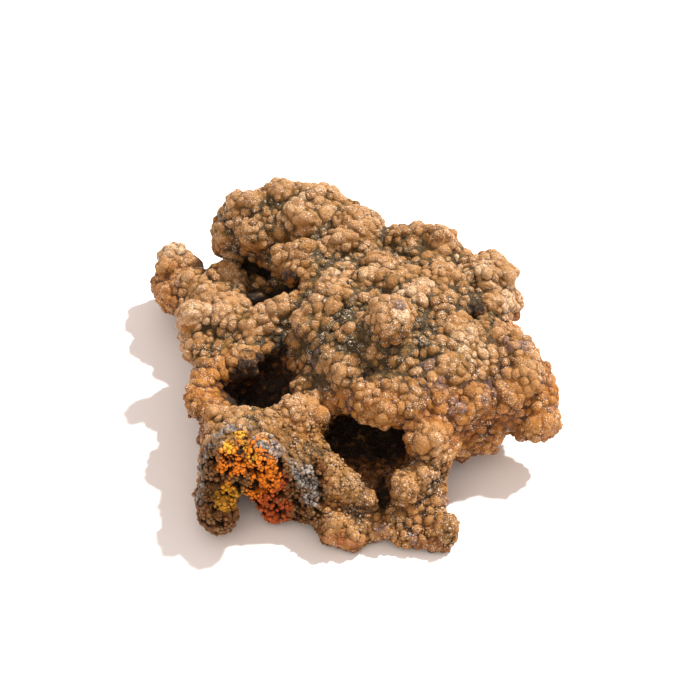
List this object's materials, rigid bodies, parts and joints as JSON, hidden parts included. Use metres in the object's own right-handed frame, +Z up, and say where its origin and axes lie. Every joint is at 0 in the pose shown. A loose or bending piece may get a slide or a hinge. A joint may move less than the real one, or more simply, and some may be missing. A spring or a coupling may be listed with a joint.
{
  "type": "mottramite mineral specimen",
  "caption": "Lumpy, grape-like crust of olive-brown mottramite over a spongy orange iron-oxide matrix, with caves and one broken end.",
  "frame": {"origin": "on the surface that the stone rests on, under the middle of its box", "axes": "+Z up, +Y away from the viewer, +X to the right, with the broken end and the shelf at the front"},
  "size_m": [0.082, 0.0846, 0.033],
  "materials": {
    "mottramite_crust": "satin"
  },
  "bodies": {
    "root": {"mottramite_specimen": "mottramite_crust"}
  },
  "joints": []
}
